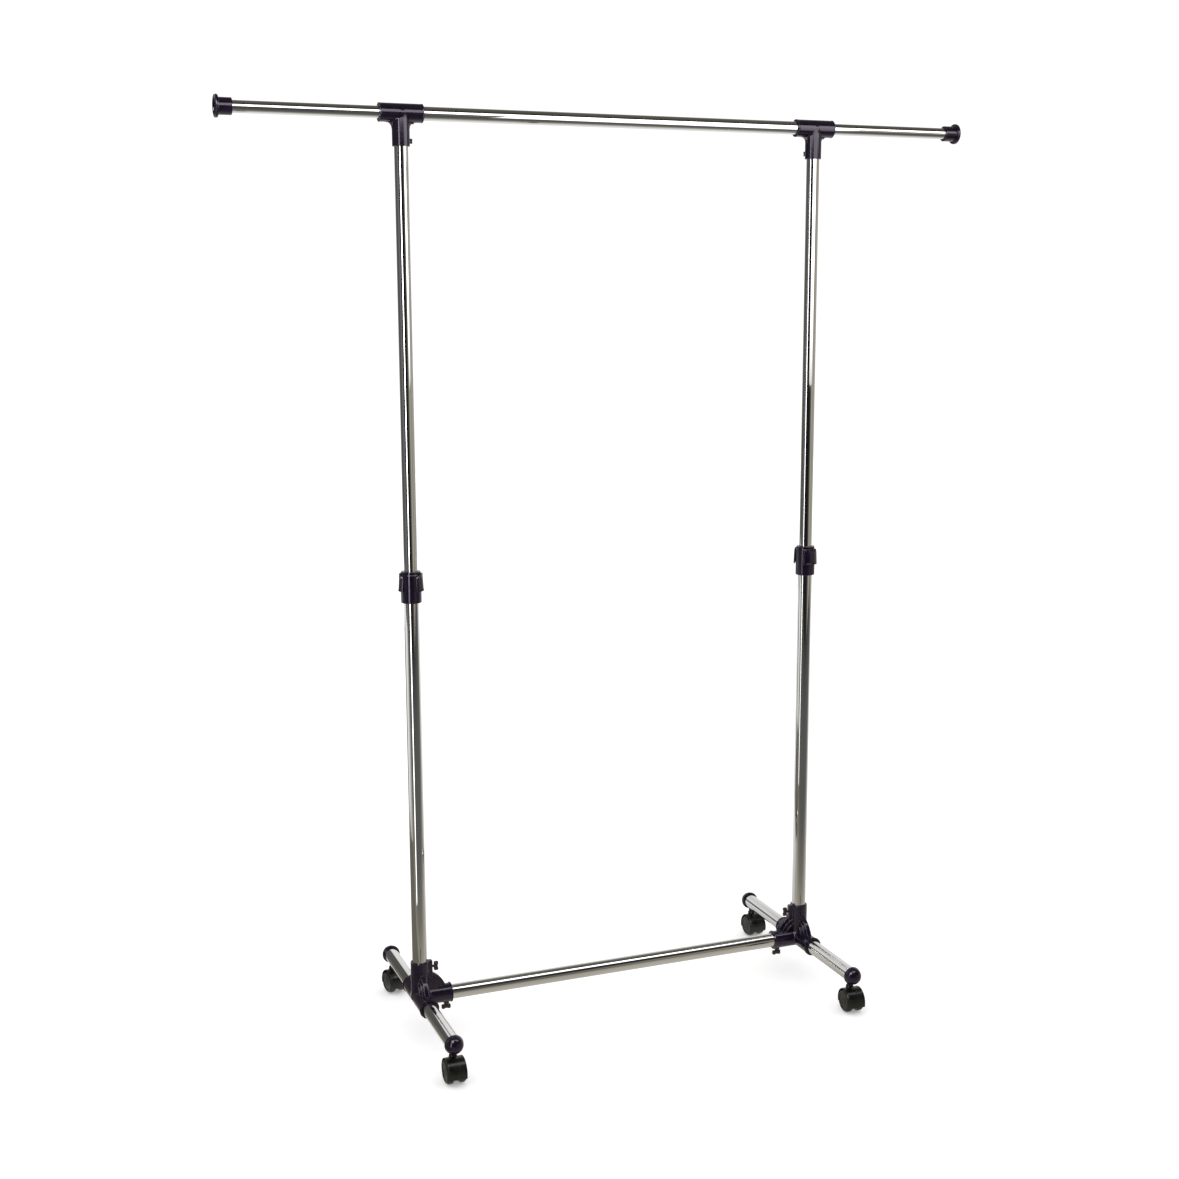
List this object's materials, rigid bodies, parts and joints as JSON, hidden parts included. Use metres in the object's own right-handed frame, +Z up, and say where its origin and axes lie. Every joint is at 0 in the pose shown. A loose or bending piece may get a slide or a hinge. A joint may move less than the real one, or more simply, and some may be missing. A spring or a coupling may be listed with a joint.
{
  "type": "garment rail",
  "caption": "Free-standing garment rail on a wheeled base: telescopic chrome posts carry a chrome hanging rail with pull-out ends.",
  "frame": {"origin": "on the floor under the middle of the base, where all eight wheels stand", "axes": "+Z up, +X along the hanging rail to the right, +Y from the front to the back along the foot tubes"},
  "size_m": [1.304, 0.4368, 1.5444],
  "materials": {
    "chrome_tube": "bright chrome plate on round steel tube",
    "fitting": "moulded near-black indigo plastic with a soft gloss",
    "caster_body": "black moulded plastic, satin",
    "wheel": "black plastic wheel, satin tread",
    "screw": "black moulded thumbscrew grip on a steel thread",
    "steel_pin": "plain steel pin",
    "guide_plastic": "dark grey guide plastic"
  },
  "bodies": {
    "base": {"crossbar": "chrome_tube", "lower_post_left": "chrome_tube", "foot_tube_left": "chrome_tube", "hub_left": "fitting", "height_collar_left": "fitting", "grip_sleeve_left": "guide_plastic", "foot_cap_left_front": "fitting", "foot_cap_left_back": "fitting", "lower_post_right": "chrome_tube", "foot_tube_right": "chrome_tube", "hub_right": "fitting", "height_collar_right": "fitting", "grip_sleeve_right": "guide_plastic", "foot_cap_right_front": "fitting", "foot_cap_right_back": "fitting"},
    "top_frame": {"hanging_rail": "chrome_tube", "upper_post_left": "chrome_tube", "post_bush_left": "guide_plastic", "tee_left": "fitting", "rail_screw_left": "screw", "upper_post_right": "chrome_tube", "post_bush_right": "guide_plastic", "tee_right": "fitting", "rail_screw_right": "screw"},
    "left_rod": {"extension_rod_left": "chrome_tube", "rod_bush_left": "guide_plastic", "rod_end_cap_left": "fitting"},
    "right_rod": {"extension_rod_right": "chrome_tube", "rod_bush_right": "guide_plastic", "rod_end_cap_right": "fitting"},
    "left_front_lever": {"release_lever_left_front": "fitting"},
    "left_back_lever": {"release_lever_left_back": "fitting"},
    "right_front_lever": {"release_lever_right_front": "fitting"},
    "right_back_lever": {"release_lever_right_back": "fitting"},
    "left_post_screw": {"post_screw_left": "screw"},
    "left_crossbar_screw": {"crossbar_screw_left": "screw"},
    "left_tee_screw": {"tee_screw_left": "screw"},
    "right_post_screw": {"post_screw_right": "screw"},
    "right_crossbar_screw": {"crossbar_screw_right": "screw"},
    "right_tee_screw": {"tee_screw_right": "screw"},
    "left_front_caster": {"caster_hood_left_front": "caster_body", "caster_stem_left_front": "steel_pin", "caster_axle_left_front": "steel_pin"},
    "left_front_wheel_a": {"caster_wheel_left_front_a": "wheel"},
    "left_front_wheel_b": {"caster_wheel_left_front_b": "wheel"},
    "right_front_caster": {"caster_hood_right_front": "caster_body", "caster_stem_right_front": "steel_pin", "caster_axle_right_front": "steel_pin"},
    "right_front_wheel_a": {"caster_wheel_right_front_a": "wheel"},
    "right_front_wheel_b": {"caster_wheel_right_front_b": "wheel"},
    "right_back_caster": {"caster_hood_right_back": "caster_body", "caster_stem_right_back": "steel_pin", "caster_axle_right_back": "steel_pin"},
    "right_back_wheel_a": {"caster_wheel_right_back_a": "wheel"},
    "right_back_wheel_b": {"caster_wheel_right_back_b": "wheel"},
    "left_back_caster": {"caster_hood_left_back": "caster_body", "caster_stem_left_back": "steel_pin", "caster_axle_left_back": "steel_pin"},
    "left_back_wheel_a": {"caster_wheel_left_back_a": "wheel"},
    "left_back_wheel_b": {"caster_wheel_left_back_b": "wheel"}
  },
  "joints": [
    {"name": "height_adjust", "type": "slide", "parent": "base", "child": "top_frame", "axis": [0, 0, 1], "range_m": [-0.61, 0.02]},
    {"name": "left_rod_slide", "type": "slide", "parent": "top_frame", "child": "left_rod", "axis": [-1, 0, 0], "range_m": [-0.224, 0.03]},
    {"name": "right_rod_slide", "type": "slide", "parent": "top_frame", "child": "right_rod", "axis": [1, 0, 0], "range_m": [-0.224, 0.03]},
    {"name": "left_front_lever_press", "type": "hinge", "parent": "base", "child": "left_front_lever", "pos_m": [-0.35055, -0.00613, 0.795], "axis": [0.3907, 0.9205, 0], "range_deg": [0, 3.6], "stiffness_Nm_per_rad": 0.02},
    {"name": "left_back_lever_press", "type": "hinge", "parent": "base", "child": "left_back_lever", "pos_m": [-0.37945, 0.00613, 0.795], "axis": [-0.3907, -0.9205, 0], "range_deg": [0, 3.6], "stiffness_Nm_per_rad": 0.02},
    {"name": "right_front_lever_press", "type": "hinge", "parent": "base", "child": "right_front_lever", "pos_m": [0.36853, -0.0153, 0.795], "axis": [0.9744, 0.225, 0], "range_deg": [0, 3.6], "stiffness_Nm_per_rad": 0.02},
    {"name": "right_back_lever_press", "type": "hinge", "parent": "base", "child": "right_back_lever", "pos_m": [0.36147, 0.0153, 0.795], "axis": [-0.9744, -0.225, 0], "range_deg": [0, 3.6], "stiffness_Nm_per_rad": 0.02},
    {"name": "left_post_screw_turn", "type": "hinge", "parent": "base", "child": "left_post_screw", "pos_m": [-0.365, 0, 0.116], "axis": [1, 0, 0], "range_deg": [0, 450]},
    {"name": "left_crossbar_screw_turn", "type": "hinge", "parent": "base", "child": "left_crossbar_screw", "pos_m": [-0.32, 0, 0.0645], "axis": [0, 0, 1], "range_deg": [0, 450]},
    {"name": "left_tee_screw_turn", "type": "hinge", "parent": "top_frame", "child": "left_tee_screw", "pos_m": [-0.365, 0, 1.4845], "axis": [1, 0, 0], "range_deg": [0, 450]},
    {"name": "right_post_screw_turn", "type": "hinge", "parent": "base", "child": "right_post_screw", "pos_m": [0.365, 0, 0.116], "axis": [1, 0, 0], "range_deg": [0, 450]},
    {"name": "right_crossbar_screw_turn", "type": "hinge", "parent": "base", "child": "right_crossbar_screw", "pos_m": [0.32, 0, 0.0645], "axis": [0, 0, 1], "range_deg": [0, 450]},
    {"name": "right_tee_screw_turn", "type": "hinge", "parent": "top_frame", "child": "right_tee_screw", "pos_m": [0.365, 0, 1.4845], "axis": [1, 0, 0], "range_deg": [0, 450]},
    {"name": "left_front_swivel", "type": "hinge", "parent": "base", "child": "left_front_caster", "pos_m": [-0.365, -0.191, 0.04], "axis": [0, 0, 1], "continuous": true},
    {"name": "left_front_wheel_a_roll", "type": "hinge", "parent": "left_front_caster", "child": "left_front_wheel_a", "pos_m": [-0.365, -0.199, 0.02], "axis": [1, 0, 0], "continuous": true},
    {"name": "left_front_wheel_b_roll", "type": "hinge", "parent": "left_front_caster", "child": "left_front_wheel_b", "pos_m": [-0.365, -0.199, 0.02], "axis": [1, 0, 0], "continuous": true},
    {"name": "right_front_swivel", "type": "hinge", "parent": "base", "child": "right_front_caster", "pos_m": [0.365, -0.191, 0.04], "axis": [0, 0, 1], "continuous": true},
    {"name": "right_front_wheel_a_roll", "type": "hinge", "parent": "right_front_caster", "child": "right_front_wheel_a", "pos_m": [0.36472, -0.199, 0.02], "axis": [0.9994, -0.0349, 0], "continuous": true},
    {"name": "right_front_wheel_b_roll", "type": "hinge", "parent": "right_front_caster", "child": "right_front_wheel_b", "pos_m": [0.36472, -0.199, 0.02], "axis": [0.9994, -0.0349, 0], "continuous": true},
    {"name": "right_back_swivel", "type": "hinge", "parent": "base", "child": "right_back_caster", "pos_m": [0.365, 0.191, 0.04], "axis": [0, 0, 1], "continuous": true},
    {"name": "right_back_wheel_a_roll", "type": "hinge", "parent": "right_back_caster", "child": "right_back_wheel_a", "pos_m": [0.36556, 0.18302, 0.02], "axis": [0.9976, 0.0698, 0], "continuous": true},
    {"name": "right_back_wheel_b_roll", "type": "hinge", "parent": "right_back_caster", "child": "right_back_wheel_b", "pos_m": [0.36556, 0.18302, 0.02], "axis": [0.9976, 0.0698, 0], "continuous": true},
    {"name": "left_back_swivel", "type": "hinge", "parent": "base", "child": "left_back_caster", "pos_m": [-0.365, 0.191, 0.04], "axis": [0, 0, 1], "continuous": true},
    {"name": "left_back_wheel_a_roll", "type": "hinge", "parent": "left_back_caster", "child": "left_back_wheel_a", "pos_m": [-0.36334, 0.18318, 0.02], "axis": [0.9781, 0.2079, 0], "continuous": true},
    {"name": "left_back_wheel_b_roll", "type": "hinge", "parent": "left_back_caster", "child": "left_back_wheel_b", "pos_m": [-0.36334, 0.18318, 0.02], "axis": [0.9781, 0.2079, 0], "continuous": true}
  ]
}
